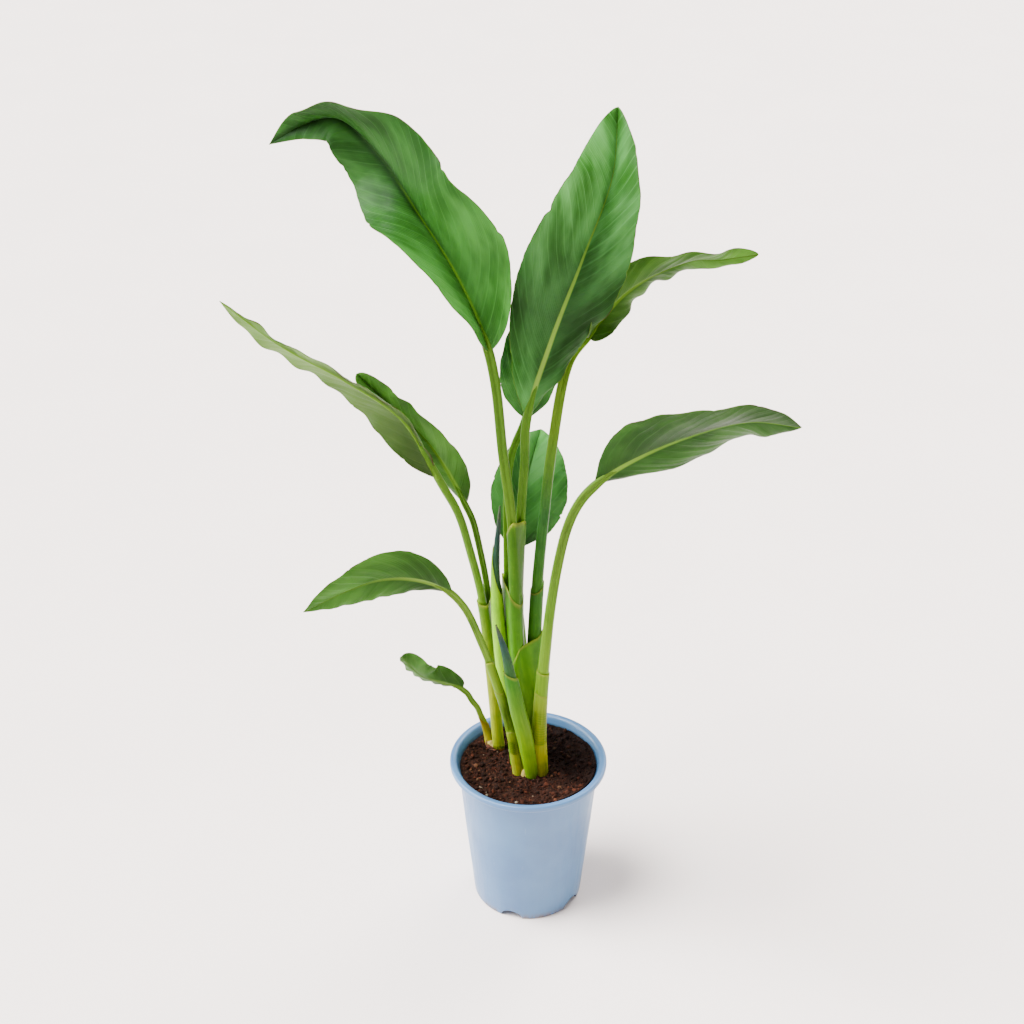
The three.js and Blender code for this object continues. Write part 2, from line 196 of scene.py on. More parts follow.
def smooth_curve(points, per_span=60):
    """Dense points on the centripetal Catmull-Rom curve through points."""
    ends = [2 * points[0] - points[1], *points, 2 * points[-1] - points[-2]]
    share = np.linspace(0, 1, per_span, endpoint=False)[:, None]
    pieces = []
    for a, b, c, d in zip(ends, ends[1:], ends[2:], ends[3:]):
        ab, bc, cd = (np.linalg.norm(q - p) ** 0.5 for p, q in ((a, b), (b, c), (c, d)))
        start = ((b - a) / ab - (c - a) / (ab + bc) + (c - b) / bc) * bc
        end = ((c - b) / bc - (d - b) / (bc + cd) + (d - c) / cd) * bc
        pieces.append(b + start * share + (3 * (c - b) - 2 * start - end) * share ** 2
                      + (2 * (b - c) + start + end) * share ** 3)
    return np.vstack([*pieces, ends[-2:-1]])


class Spine:
    """A smooth curve that gives places and directions by the length along it."""

    def __init__(self, points_mm, origin):
        points = [np.array(p) * MM + origin for p in points_mm]
        self.points = smooth_curve(points)
        steps = np.linalg.norm(np.diff(self.points, axis=0), axis=1)
        self.lengths = np.concatenate([[0], np.cumsum(steps)])
        self.tangents = unit(np.gradient(self.points, self.lengths, axis=0))
        self.length = self.lengths[-1]

    def length_at(self, point):
        return self.lengths[np.argmin(np.linalg.norm(self.points - point, axis=1))]

    def at(self, place):
        """Points at lengths along the curve, with the directions along, right and front."""
        point = np.stack([np.interp(place, self.lengths, column) for column in self.points.T], -1)
        along = unit(np.stack([np.interp(place, self.lengths, c) for c in self.tangents.T], -1))
        front = unit(FRONT - (along @ FRONT)[..., None] * along)
        return point, along, np.cross(along, front), front


def eased(values, share):
    """Values spread evenly over 0 to 1, joined by smooth steps."""
    values = np.array(values, float)
    place = np.clip(share, 0, 1) * (len(values) - 1)
    index = np.minimum(place.astype(int), len(values) - 2)
    step = place - index
    slopes = np.gradient(values)
    a, b, m, n = values[index], values[index + 1], slopes[index], slopes[index + 1]
    return (a * (1 + 2 * step) * (1 - step) ** 2 + b * step ** 2 * (3 - 2 * step)
            + m * step * (1 - step) ** 2 - n * step ** 2 * (1 - step))


def rise(low, high, value):
    """0 below low, 1 above high and a smooth step between."""
    share = np.clip((value - low) / (high - low), 0, 1)
    return share * share * (3 - 2 * share)


def wobble(rng, share, waves):
    """A smooth irregular wave of about unit height with the given waves over 0 to 1."""
    count = 4
    total = np.zeros_like(share)
    for _ in range(count):
        total += np.sin(TURN * (waves * rng.uniform(0.6, 1.6) * share + rng.uniform()))
    return total / count ** 0.5


# ---------- Meshes ----------

def new_object(name, vertices, faces, materials, face_materials=None, attributes=None):
    mesh = bpy.data.meshes.new(name)
    mesh.from_pydata(np.asarray(vertices).tolist(), [], [list(f) for f in faces])
    for material in materials:
        mesh.materials.append(material)
    if face_materials is not None:
        mesh.polygons.foreach_set("material_index", np.asarray(face_materials, dtype=np.int32))
    for key, values in (attributes or {}).items():
        layer = mesh.attributes.new(key, "FLOAT", "POINT")
        layer.data.foreach_set("value", np.asarray(values, dtype=np.float32).ravel())
    mesh.polygons.foreach_set("use_smooth", np.ones(len(mesh.polygons), dtype=bool))
    mesh.validate()
    shape = bmesh.new()
    shape.from_mesh(mesh)
    bmesh.ops.recalc_face_normals(shape, faces=shape.faces)
    if shape.calc_volume(signed=True) < 0:
        bmesh.ops.reverse_faces(shape, faces=shape.faces)
    shape.to_mesh(mesh)
    shape.free()
    obj = bpy.data.objects.new(name, mesh)
    bpy.context.scene.collection.objects.link(obj)
    return obj


def grid_faces(rows, columns, start=0, wrap=False, flip=False):
    """Quads over a grid of points stored row by row. wrap joins the last column to the first."""
    row, column = np.meshgrid(np.arange(rows - 1), np.arange(columns if wrap else columns - 1),
                              indexing="ij")
    after = (column + 1) % columns
    quads = np.stack([row * columns + column, row * columns + after,
                      (row + 1) * columns + after, (row + 1) * columns + column], -1).reshape(-1, 4)
    return (quads[:, ::-1] if flip else quads) + start


def tube_faces(rows, columns):
    """A closed tube: the wall of a wrapped grid and one face at each end."""
    last = (rows - 1) * columns
    return [*grid_faces(rows, columns, wrap=True).tolist(),
            list(range(columns))[::-1], list(range(last, last + columns))]


def plate_faces(rows, columns, flip=False):
    """A closed plate: a grid, the grid of its other side, and the rim that joins them."""
    count = rows * columns
    grid = np.arange(count).reshape(rows, columns)
    edge = np.concatenate([grid[0], grid[1:, -1], grid[-1, -2::-1], grid[-2:0:-1, 0]])
    beyond = np.roll(edge, -1)
    rim = np.stack([edge, beyond, beyond + count, edge + count], -1)
    return [grid_faces(rows, columns, flip=flip), grid_faces(rows, columns, count, flip=not flip),
            rim if flip else rim[:, ::-1]]


def circle(columns):
    """Bearings round a circle, in turns, and their cosines and sines."""
    turns = np.linspace(0, 1, columns, endpoint=False)
    return turns, np.cos(TURN * turns), np.sin(TURN * turns)


def rings(radius, height, columns):
    """Rows of points round the z axis, from columns or grids of radii and heights."""
    _, cos, sin = circle(columns)
    return np.stack(np.broadcast_arrays(radius * cos, radius * sin, height), -1)


class Parts:
    """Gathers several closed shapes, with their attributes, into the mesh of one piece."""

    def __init__(self, *keys):
        self.vertices, self.faces, self.slots = [], [], []
        self.attributes = {key: [] for key in keys}
        self.count = 0

    def add(self, vertices, faces, slot=0, **attributes):
        vertices = np.asarray(vertices).reshape(-1, 3)
        self.vertices.append(vertices)
        self.faces += [[index + self.count for index in face] for face in faces]
        self.slots += [slot] * len(faces)
        for key, values in self.attributes.items():
            given = attributes.get(key, 0.0)
            values.append(np.broadcast_to(np.asarray(given, float).ravel(), len(vertices)))
        self.count += len(vertices)

    def build(self, name, materials):
        attributes = {key: np.concatenate(values) for key, values in self.attributes.items()}
        return new_object(name, np.vstack(self.vertices), self.faces, materials, self.slots, attributes)


def show(piece, node):
    """Puts a finished piece in the place of a CAD node."""
    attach(piece, "root")
    if node:
        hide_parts(node)
    return piece


# ---------- Materials ----------

def linear(shade):
    """Screen values, three from 0 to 255, as a linear colour. Anything else is left as it is."""
    if not isinstance(shade, tuple) or len(shade) != 3:
        return shade
    shares = [value / 255 for value in shade]
    return (*(s / 12.92 if s <= 0.04045 else ((s + 0.055) / 1.055) ** 2.4 for s in shares), 1.0)


class Shade:
    """A node material being built. Every method returns an output socket."""

    def __init__(self, name):
        self.material = bpy.data.materials.new(name)
        self.material.use_nodes = True
        self.tree = self.material.node_tree
        self.shader = self.tree.nodes["Principled BSDF"]

    def node(self, kind, inputs=None, **settings):
        node = self.tree.nodes.new(kind)
        for key, value in settings.items():
            setattr(node, key, value)
        for key, value in (inputs or {}).items():
            self.put(node.inputs[key], value)
        return node

    def put(self, socket, value):
        if isinstance(value, bpy.types.NodeSocket):
            self.tree.links.new(value, socket)
        else:
            socket.default_value = value

    def attribute(self, name):
        return self.node("ShaderNodeAttribute", attribute_name=name).outputs["Fac"]

    def place(self):
        return self.node("ShaderNodeTexCoord").outputs["Object"]

    def math(self, operation, *values):
        node = self.node("ShaderNodeMath", operation=operation)
        for index, value in enumerate(values):
            self.put(node.inputs[index], value)
        return node.outputs[0]

    def times(self, first, second):
        return self.math("MULTIPLY", first, second)

    def plus(self, first, second):
        return self.math("ADD", first, second)

    def axis(self, letter):
        return self.node("ShaderNodeSeparateXYZ", {0: self.place()}).outputs[letter]

    def vector(self, x, y, z):
        return self.node("ShaderNodeCombineXYZ", {"X": x, "Y": y, "Z": z}).outputs[0]

    def noise(self, vector, scale, detail=3.0, roughness=0.55):
        return self.node("ShaderNodeTexNoise", {
            "Vector": vector, "Scale": scale, "Detail": detail, "Roughness": roughness}).outputs["Fac"]

    def spread(self, value, low, high, to_low=0.0, to_high=1.0):
        node = self.node("ShaderNodeMapRange", {
            "Value": value, "From Min": low, "From Max": high, "To Min": to_low, "To Max": to_high},
            interpolation_type="SMOOTHSTEP")
        return node.outputs[0]

    def ramp(self, value, *stops):
        node = self.node("ShaderNodeValToRGB", {"Fac": value})
        elements = node.color_ramp.elements
        elements[0].position, elements[0].color = stops[0][0], linear(stops[0][1])
        elements[1].position, elements[1].color = stops[-1][0], linear(stops[-1][1])
        for position, here in stops[1:-1]:
            elements.new(position).color = linear(here)
        return node.outputs[0]

    def mix(self, share, first, second, blend="MIX"):
        node = self.node("ShaderNodeMix", data_type="RGBA", blend_type=blend)
        self.put(node.inputs[0], share)
        self.put(node.inputs[6], linear(first))
        self.put(node.inputs[7], linear(second))
        return node.outputs[2]

    def lay(self, share, colour_over, blend="MIX"):
        """Lays another colour over the body colour so far."""
        self.body = self.mix(share, self.body, colour_over, blend)

    def bump(self, height, distance, strength):
        return self.node("ShaderNodeBump", {
            "Height": height, "Distance": distance, "Strength": strength}).outputs[0]

    def finish(self, under_skin=None, **inputs):
        """Connects what was built. under_skin: how much light goes under, its reaches and scale."""
        if under_skin:
            keys = ("Subsurface_Weight", "Subsurface_Radius", "Subsurface_Scale")
            inputs.update(zip(keys, under_skin))
        self.put(self.shader.inputs["Base Color"], self.body)
        for key, value in inputs.items():
            self.put(self.shader.inputs[key.replace("_", " ")], value)
        return self.material


def leaf_material(name, deep, light, rib_foot, rib_tip, light_and_tones, sides, groove, gloss, seed):
    """One face of a blade, from the distances that its mesh carries, in metres.

    Its brightness at even steps from the foot to the tip is part its own tone and part painted light and
    shade, that of its halves left and right of the midrib is painted light and shade, and groove is how
    dark the painted shade in the groove along the midrib is."""
    shade = Shade(name)
    vein = shade.attribute("vein")
    across = shade.attribute("across")
    edge = shade.attribute("edge")
    share = shade.attribute("share")
    place = shade.vector(across, vein, seed)
    drift = shade.noise(shade.vector(across, shade.times(vein, 0.6), seed), 34.0, 3.0)
    fine = shade.noise(place, 900.0, 2.0)
    wander = shade.math("MULTIPLY_ADD", drift, 0.005, vein)

    def lines(spacing, sharpness):
        wave = shade.math("SINE", shade.times(wander, TURN / spacing))
        return shade.math("POWER", shade.math("MULTIPLY_ADD", wave, 0.5, 0.5), sharpness)

    strong, weak = lines(0.0108, 30.0), lines(0.0021, 3.0)
    shade.body = shade.ramp(shade.spread(drift, 0.36, 0.66), (0.0, deep), (1.0, light))
    streak = shade.noise(shade.vector(shade.times(across, 0.2), wander, seed), 210.0, 3.0)
    shade.lay(shade.spread(streak, 0.45, 0.78, 0.0, 0.25), light)
    shade.lay(shade.times(weak, 0.1), light)
    shade.lay(shade.times(strong, 0.45), light)
    # Brightness along the blade: part the leaf's own tone, part painted light and shade.
    most = max(light_and_tones)
    grey = [(index / (len(light_and_tones) - 1), (light_and_tone / most, light_and_tone / most, light_and_tone / most, 1))
            for index, light_and_tone in enumerate(light_and_tones)]
    light_and_tone = shade.mix(1.0, shade.ramp(share, *grey), (most, most, most, 1), "MULTIPLY")
    shade.lay(1.0, light_and_tone, "MULTIPLY")
    # Painted light and shade: one half of the blade lit brighter than the other.
    half = shade.spread(across, -0.006, 0.006, *sides)
    shade.lay(1.0, shade.vector(half, half, half), "MULTIPLY")
    # Darker near the midrib and towards the foot: part the leaf's own tone, part painted shade.
    close = shade.spread(shade.math("ABSOLUTE", across), 0.0, 0.024, 0.55, 0.0)
    low_down = shade.spread(share, 0.1, 0.75, 1.0, 0.25)
    shade.lay(shade.times(close, low_down), (112, 138, 104), "MULTIPLY")
    # Painted shade in the groove along the midrib.
    painted_groove_shade = shade.spread(shade.math("ABSOLUTE", across), 0.001, 0.006, groove, 0.0)
    painted_groove_shade = shade.times(painted_groove_shade, shade.spread(share, 0.2, 0.5))
    shade.lay(painted_groove_shade, (10, 30, 8))
    rib_width = shade.spread(share, 0.0, 1.0, 0.0019, 0.0005)
    rib = shade.spread(shade.math("DIVIDE", shade.math("ABSOLUTE", across), rib_width), 0.5, 1.3,
                       1.0, 0.0)
    rib_colour = shade.ramp(share, (0.0, rib_foot), (0.25, rib_foot), (0.55, rib_tip), (1.0, rib_tip))
    shade.lay(rib, rib_colour)
    brown = shade.spread(shade.noise(shade.place(), 70.0, 3.0), 0.5, 0.6)
    rim = shade.mix(brown, (64, 90, 22), (52, 32, 14))
    shade.lay(shade.spread(edge, 0.0002, 0.0006, 0.85, 0.0), rim)
    relief = shade.plus(shade.times(weak, 0.4), shade.times(fine, 0.3))
    relief = shade.plus(relief, shade.times(strong, 0.8))
    rough = shade.spread(shade.plus(fine, drift), 0.7, 1.3, gloss - 0.06, gloss + 0.1)
    return shade.finish(
        Roughness=rough, Normal=shade.bump(relief, 0.0002, 0.6),
        under_skin=(0.3, (0.5, 1.0, 0.15), 0.0012), Specular_IOR_Level=0.055)


def stalk_material(name, stops, gloss=0.42):
    """A fleshy stalk with fine ribs. stops are shades at shares of its length, 0 to 1."""
    shade = Shade(name)
    along, turn, share, lip = (shade.attribute(key) for key in ("along", "turn", "share", "lip"))
    ribs = shade.noise(shade.vector(shade.times(turn, 11.0), shade.times(along, 14.0), 0.0), 2.6, 4.0)
    blotch = shade.noise(shade.place(), 45.0, 3.0)
    fleck = shade.noise(shade.place(), 520.0, 2.0)
    shade.body = shade.ramp(share, *stops)
    shade.lay(shade.spread(ribs, 0.4, 0.7, 0.0, 0.6), (1.7, 1.5, 1.6, 1), "MULTIPLY")
    shade.lay(shade.spread(blotch, 0.48, 0.75, 0.0, 0.5), (150, 190, 130), "MULTIPLY")
    shade.lay(shade.spread(fleck, 0.62, 0.8, 0.0, 0.12), (130, 142, 60))
    shade.lay(shade.times(lip, 0.45), (120, 112, 50))
    return shade.finish(
        Roughness=shade.spread(ribs, 0.3, 0.7, gloss - 0.05, gloss + 0.1),
        Normal=shade.bump(shade.plus(ribs, shade.times(fleck, 0.3)), 0.0004, 0.5),
        under_skin=(0.3, (0.7, 1.0, 0.2), 0.003), Specular_IOR_Level=0.07)


def crown_material():
    """The pale foot of the plant, with dry pinkish brown scales."""
    shade = Shade("crown_flesh")
    tint = shade.attribute("tint")
    height = shade.axis("Z")
    fibres = shade.noise(shade.vector(shade.times(shade.attribute("turn"), 16.0),
                                      shade.times(height, 60.0), 0.0), 2.0, 4.0)
    fresh = shade.ramp(fibres, (0.3, (132, 114, 34)), (0.7, (166, 148, 66)))
    dry = shade.ramp(fibres, (0.3, (60, 26, 16)), (0.55, (112, 62, 42)), (0.8, (156, 110, 76)))
    dryness = shade.spread(shade.plus(tint, shade.times(fibres, 0.3)), 0.35, 0.75)
    shade.body = shade.mix(dryness, fresh, dry)
    soiled = shade.spread(shade.plus(height, shade.times(fibres, 0.004)),
                          SOIL_LEVEL + 0.001, SOIL_LEVEL + 0.005, 1.0, 0.0)
    shade.lay(soiled, (34, 18, 12))
    return shade.finish(Roughness=0.62, Normal=shade.bump(fibres, 0.0006, 0.7),
                        under_skin=(0.15, (1.0, 0.8, 0.4), 0.002))


def soil_material(name, crumb):
    """Moist peat: near black, reddish and tan, in grains, with painted shadow of the plant towards the
    back right.
    """
    shade = Shade(name)
    place = shade.place()
    grain = shade.noise(place, 700.0, 5.0, 0.7)
    patch = shade.noise(place, 90.0, 4.0)
    shade.body = shade.ramp(grain, (0.32, (10, 5, 3)), (0.5, (33, 17, 10)),
                            (0.62, (58, 31, 20)), (0.78, (90, 62, 43)))
    shade.lay(shade.spread(patch, 0.42, 0.7, 0.0, 0.55), (12, 6, 4))
    if crumb:
        kinds = shade.ramp(shade.attribute("tint"), (0.0, (10, 5, 3)), (0.4, (32, 16, 10)),
                           (0.75, (62, 31, 20)), (0.93, (90, 46, 29)),
                           (0.985, (98, 72, 50)), (1.0, (150, 140, 122)))
        shade.lay(0.62, kinds)
    # Painted shadow of the plant: the soil darker towards the back right.
    painted_plant_shadow = shade.math("MULTIPLY_ADD", patch, 0.03, shade.plus(shade.axis("X"), shade.axis("Y")))
    shade.lay(shade.spread(painted_plant_shadow, 0.015, 0.05, 0.0, 0.7), (10, 4, 3))
    return shade.finish(Roughness=shade.spread(patch, 0.3, 0.7, 0.72, 0.98),
                        Normal=shade.bump(grain, 0.0009, 0.9), Specular_IOR_Level=0.08)


def pot_material():
    """Thin moulded plastic, pale blue, with a faint orange-peel skin, scuffs, dust, and painted shade on
    the inner wall above the soil.
    """
    shade = Shade("pot_plastic")
    place = shade.place()
    height = shade.axis("Z")
    flat = shade.node("ShaderNodeMapping", {"Vector": place, "Scale": (1.0, 1.0, 0.0)}).outputs[0]
    reach = shade.node("ShaderNodeVectorMath", {0: flat}, operation="LENGTH").outputs["Value"]
    cloud = shade.noise(place, 22.0, 3.0)
    skin = shade.noise(place, 650.0, 2.0)
    scuff = shade.noise(shade.node("ShaderNodeMapping", {
        "Vector": place, "Scale": (260.0, 260.0, 28.0)}).outputs[0], 1.0, 4.0, 0.65)
    shade.body = shade.ramp(shade.spread(cloud, 0.3, 0.7), (0.0, (59, 98, 140)), (1.0, (68, 110, 150)))
    shade.lay(shade.spread(scuff, 0.66, 0.8, 0.0, 0.3), (150, 170, 190))
    dust = shade.times(shade.spread(height, 0.0, 0.007, 1.0, 0.0), shade.spread(scuff, 0.35, 0.6))
    shade.lay(shade.times(dust, 0.8), (104, 82, 62))
    flare = (NECK_RADIUS - BASE_RADIUS) / (POT_HEIGHT - LIP_DEPTH)
    upright = shade.math("MULTIPLY_ADD", height, -flare, reach)
    inside = shade.spread(upright, BASE_RADIUS - 0.9 * MM, BASE_RADIUS - 0.4 * MM, 1.0, 0.0)
    inside = shade.times(inside, shade.math("GREATER_THAN", height, SOIL_LEVEL - 0.02))
    # Painted shade on the inner wall above the soil, darkest near the soil.
    painted_inner_shade = shade.spread(shade.math("MULTIPLY_ADD", scuff, 0.003, height),
                         SOIL_LEVEL + 2 * MM, POT_HEIGHT - 1.2 * MM, 0.8, 0.2)
    shade.lay(shade.times(inside, painted_inner_shade), (26, 44, 52))
    return shade.finish(
        Roughness=shade.spread(scuff, 0.3, 0.75, 0.3, 0.46),
        Normal=shade.bump(shade.plus(skin, shade.times(cloud, 2.0)), 0.0001, 0.4),
        under_skin=(0.12, (0.6, 0.8, 1.0), 0.002), Specular_IOR_Level=0.5)


# ---------- Leaf blades ----------

def outline(leaf, share):
    """Half width of a blade as a share of its widest."""
    share = np.clip(share, 1e-6, 1 - 1e-6)
    widest, fullness = leaf["widest"], leaf["fullness"]
    return ((share / widest) ** (fullness * widest)
            * ((1 - share) / (1 - widest)) ** (fullness * (1 - widest)))


VEIN_LEAN = 1.0  # how far a side vein runs on towards the tip for each metre out from the midrib
VEIN_BEND = 14.0  # how much more it does so near the margin
BLADE_THICKNESS = 0.6 * MM
ALONG, ACROSS = 260, 27


def torn_margin(rng, share, nicks):
    """The width of a margin as a share of the smooth one: faint waves and a few small tears."""
    width = 1 + 0.004 * wobble(rng, share, 9) + 0.003 * wobble(rng, share, 22)
    for _ in range(rng.integers(nicks // 2, nicks + 1)):
        centre, reach = rng.uniform(0.08, 0.9), rng.uniform(0.004, 0.011)
        width -= rng.uniform(0.01, 0.04) * np.exp(-((share - centre) / reach) ** 2)
    return width


def make_blade(name, leaf, spine, joint, materials):
    rng = np.random.default_rng(sum(map(ord, name)))
    share = np.linspace(0, 1, ALONG)
    half = np.sin(np.linspace(0, math.pi / 2, ACROSS))
    across = np.concatenate([-half[:0:-1], half])
    length = spine.length - joint
    point, _, right, front = spine.at(joint + share * length)
    away = np.abs(across)[None]

    def by_side(left, right):
        return np.where(across < 0, np.reshape(left, (-1, 1)), np.reshape(right, (-1, 1)))

    side_width = by_side(leaf["left"], leaf["right"]) * MM
    least = leaf["top"] * 0.55 * MM * (1 - share)
    width = np.maximum(side_width * outline(leaf, share)[:, None], least[:, None])
    width = width * by_side(*(torn_margin(rng, share, leaf["nicks"]) for _ in range(2)))
    lift = np.radians(by_side(eased(leaf["left_lift"], share), eased(leaf["right_lift"], share)))
    lift = lift + math.radians(16) * leaf["face"] * (0.55 - away)
    out = away * width
    middle = (point[:, None] + right[:, None] * (np.sign(across) * out * np.cos(lift))[..., None]
              + front[:, None] * (out * np.sin(lift))[..., None])

    distance = out * np.sign(across)[None]
    vein = share[:, None] * length - (VEIN_LEAN * out + VEIN_BEND * out ** 2)
    upper = leaf["face"] * unit(np.cross(np.gradient(middle, axis=1), np.gradient(middle, axis=0)))
    margin = by_side(wobble(rng, share, 5), wobble(rng, share, 5))
    body = rise(0.0, 0.12, share)[:, None] * rise(1.0, 0.85, share)[:, None]
    swell = margin * leaf["wave"] * MM * away ** 2.2
    warped = vein + 0.0022 * np.sin(TURN * vein / 0.043 + rng.uniform(0, TURN))
    quilt = 0.00013 * np.cos(TURN * warped / 0.0108) + 0.0003 * np.sin(TURN * warped / 0.034)
    quilt = quilt * rise(0.0, 0.25, away) * (1 - away ** 6)
    middle = middle + upper * ((swell + quilt) * body)[..., None]
    upper = leaf["face"] * unit(np.cross(np.gradient(middle, axis=1), np.gradient(middle, axis=0)))

    rib_reach = (2.6 - 2.0 * share)[:, None] * MM * leaf["top"] / 3
    bell = np.exp(-(distance / rib_reach) ** 2)
    rib_depth = leaf["top"] * MM * (0.95 * (1 - share) ** 0.9 + 0.06)[:, None]
    groove = 0.55 * MM * (1 - 0.75 * share)[:, None] * np.exp(-(distance / (0.5 * rib_reach)) ** 2)
    half_thick = BLADE_THICKNESS / 2 * (1 - 0.45 * away ** 8)
    top_side = middle + upper * (half_thick - groove)[..., None]
    under_side = middle - upper * (half_thick + rib_depth * bell)[..., None]

    faces = plate_faces(ALONG, len(across), flip=leaf["face"] > 0)
    slots = np.repeat([0, 1, 0], [len(part) for part in faces])
    both = {
        "vein": vein,
        "across": distance,
        "edge": (1 - away) * width,
        "share": np.broadcast_to(share[:, None], out.shape),
    }
    return new_object(
        f"{name}_leaf_blade", np.vstack([top_side.reshape(-1, 3), under_side.reshape(-1, 3)]),
        np.vstack(faces), materials, slots,
        {key: np.tile(value.ravel(), 2) for key, value in both.items()})


# ---------- Stalks, sheaths and rolled leaves ----------

AROUND = 36
SHEATH_WALL = 0.4 * MM
TALLEST_SHEATH = 216
# A sheath round several stalks stands out by this for each millimetre that its mouth is lower.
SHEATH_STEP = 0.006


def stalk_radius(leaf, share):
    return (leaf["top"] + (leaf["foot"] - leaf["top"]) * np.exp(-share / 0.4)) * MM


def spear_radius(spear, share):
    swell = np.sin(math.pi * np.minimum(share / 0.9, 1)) * (spear["waist"] - spear["foot"])
    point = np.sqrt(np.maximum(1 - share ** 3, 0))
    return np.maximum((spear["foot"] + swell) * point, spear["tip"]) * MM


class Stem:
    """The spine of a stalk or a rolled leaf and its radius at each height."""

    def __init__(self, name):
        self.spear = SPEARS.get(name)
        self.leaf = self.spear or LEAVES[name]
        self.origin = CROWN_PLACES[self.leaf.get("crown", "crown_main")]
        route = self.leaf["path"] if self.spear else self.leaf["stalk"] + self.leaf["midrib"]
        self.spine = Spine(route, self.origin)
        last = self.leaf["path" if self.spear else "stalk"][-1]
        self.joint = self.spine.length_at(np.array(last) * MM + self.origin)

    def radius(self, share):
        return spear_radius(self.leaf, share) if self.spear else stalk_radius(self.leaf, share)

    def at_height(self, height):
        """Its middle and radius where it passes the given heights."""
        rising = self.spine.lengths <= self.joint
        place = np.interp(height, self.spine.points[rising, 2], self.spine.lengths[rising])
        point = self.spine.at(place)[0]
        return point, self.radius(place / self.joint)


STEMS = {name: Stem(name) for name in [*LEAVES, *SPEARS]}


def hull_around(stems, height, cos, sin, extra):
    """A rounded wall around all of the stems, one point for each height and direction."""
    softness = 0.8 * MM
    reach, points = [], []
    for stem in stems:
        point, radius = stem.at_height(height)
        radius = radius * 1.04 + extra
        reach.append((point[..., 0] * cos + point[..., 1] * sin + radius) / softness)
        points.append(np.stack([point[..., 0] + radius * cos, point[..., 1] + radius * sin], -1))
    reach = np.stack(reach)
    weight = np.exp(reach - reach.max(0))
    weight /= weight.sum(0)
    flat = sum(w[..., None] * p for w, p in zip(weight, points))
    return np.concatenate([flat, height[..., None]], -1)


def add_sheath(parts, sheath, slot):
    """A thin, clasping leaf base with its mouth cut off aslant."""
    names, bottom, top, slant, high_side = sheath[:5]
    rows = 34
    turns, cos, sin = circle(AROUND)
    share = np.linspace(0, 1, rows)[:, None]
    cut = 0.5 - 0.5 * np.cos(TURN * (turns - high_side))
    mouth = SOIL_LEVEL + (top - slant * cut ** 0.8) * MM
    low = SOIL_LEVEL + bottom * MM
    height = low + (mouth - low)[None] * share
    stems = [STEMS[name] for name in names]
    snug = 0.15 + (SHEATH_STEP * (TALLEST_SHEATH - top) if len(names) > 1 else 0)
    loose = snug * MM + 0.35 * MM * rise(0.8, 1.0, share) * np.ones_like(height)
    thick = SHEATH_WALL * (1 - 0.7 * rise(0.85, 1.0, share))
    outer = hull_around(stems, height, cos, sin, loose + thick)
    inner = hull_around(stems, height, cos, sin, loose)
    loop = np.vstack([outer, inner[::-1]])
    faces = grid_faces(2 * rows, AROUND, wrap=True).tolist()
    last = (2 * rows - 1) * AROUND
    faces += [[i, (i + 1) % AROUND, last + (i + 1) % AROUND, last + i] for i in range(AROUND)]
    lip = rise(1.6 * MM, 0.2 * MM, mouth[None] - height)
    tall = (height - low) / ((top - bottom) * MM)
    parts.add(loop, faces, slot,
              along=np.vstack([height, height[::-1]]), share=np.vstack([tall, tall[::-1]]),
              turn=np.tile(np.abs(turns - 0.5) * 2, 2 * rows), lip=np.vstack([lip, lip[::-1]]))


def add_sheaths(parts, name, materials):
    for number, sheath in enumerate(SHEATHS.get(name, [])):
        foot, mouth = sheath[5:]
        materials.append(stalk_material(f"{name}_sheath_skin_{number}", [
            (0.0, foot), (0.3, foot), (1.0, mouth)]))
        add_sheath(parts, sheath, len(materials) - 1)


def channelled(leaf, share, turns):
    """A stalk's radius with a channel down its upper side."""
    upward = 0.25 if leaf["face"] > 0 else 0.75
    away = (turns - upward + 0.5) % 1 - 0.5
    depth = 0.42 * rise(0.3, 0.9, share)[:, None]
    channel = -depth * np.exp(-(away / 0.085) ** 2)
    lips = 0.3 * depth * np.exp(-((np.abs(away) - 0.15) / 0.05) ** 2)
    keel = 1 + 0.025 * np.cos(TURN * 7 * turns)[None]
    return stalk_radius(leaf, share)[:, None] * (keel + channel + lips)


def add_tube(parts, point, right, front, radius, place, share):
    turns, cos, sin = circle(AROUND)
    wall = (point[:, None] + right[:, None] * (radius * cos[None])[..., None]
            + front[:, None] * (radius * sin[None])[..., None])
    parts.add(wall, tube_faces(len(place), AROUND), 0,
              along=np.repeat(place, AROUND), share=np.repeat(share, AROUND),
              turn=np.tile(np.abs(turns - 0.5) * 2, len(place)))


def make_stalk(name, stem, stops):
    """The stalk, which runs on under the foot of the blade and thins out there."""
    leaf, spine, joint = stem.leaf, stem.spine, stem.joint
    parts = Parts("along", "turn", "share", "lip")
    run_on = min(0.03, 0.16 * (spine.length - joint))
    place = np.linspace(0, joint + run_on, 120)
    point, _, right, front = spine.at(place)
    share = place / joint
    beyond = np.clip((place - joint) / run_on, 0, 1)
    turns = circle(AROUND)[0]
    radius = channelled(leaf, np.minimum(share, 1), turns) * (1 - 0.55 * beyond ** 1.2)[:, None]
    sink = leaf["face"] * leaf["top"] * MM * 0.55 * rise(0.0, 1.0, beyond)
    rng = np.random.default_rng(len(name))
    sway = wobble(rng, share, 3) * 0.3 * MM * rise(0.25, 0.5, share) * (1 - rise(0.9, 1, share))
    add_tube(parts, point - front * sink[:, None] + right * sway[:, None], right, front, radius,
             place, share)
    materials = [stalk_material(f"{name}_stalk_skin", stops)]
    add_sheaths(parts, name, materials)
    return parts.build(f"{name}_leaf_stalk", materials)


